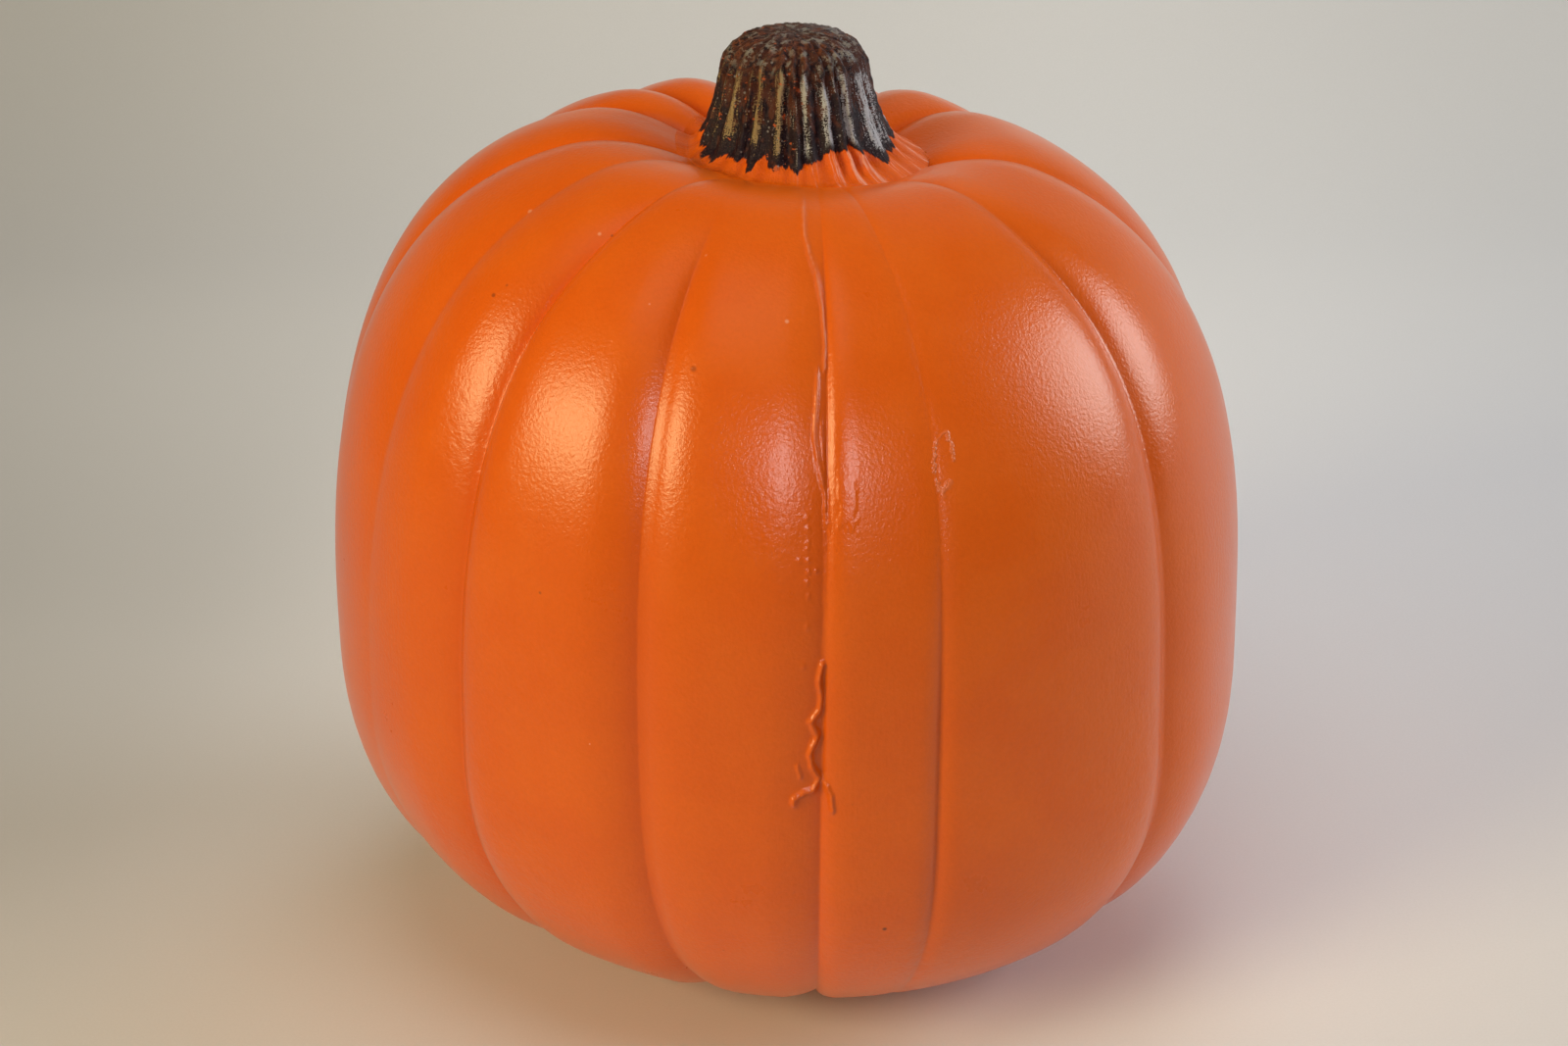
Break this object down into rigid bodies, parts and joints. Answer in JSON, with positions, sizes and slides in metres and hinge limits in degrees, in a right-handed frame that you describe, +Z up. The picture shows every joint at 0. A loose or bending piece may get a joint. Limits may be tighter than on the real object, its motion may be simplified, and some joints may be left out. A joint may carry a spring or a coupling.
{
  "type": "artificial pumpkin",
  "caption": "Rounded, deeply ribbed artificial pumpkin with a short fluted stem; a table ornament that rests on its small flat underside.",
  "frame": {"origin": "on the flat underside it rests on, below the middle of the bounding box", "axes": "+Z up through the stem; -Y towards the front, where the mould's parting line runs; +X to the right seen from the front"},
  "size_m": [0.2284, 0.2156, 0.2388],
  "materials": {
    "orange_paint": "satin orange paint over moulded foam, with fine brush marks and orange peel",
    "stem_paint": "near-black brown paint, dry-brushed with silver grey and khaki on the ribs"
  },
  "bodies": {
    "root": {"pumpkin_body": "orange_paint", "stem": "stem_paint"}
  },
  "joints": []
}
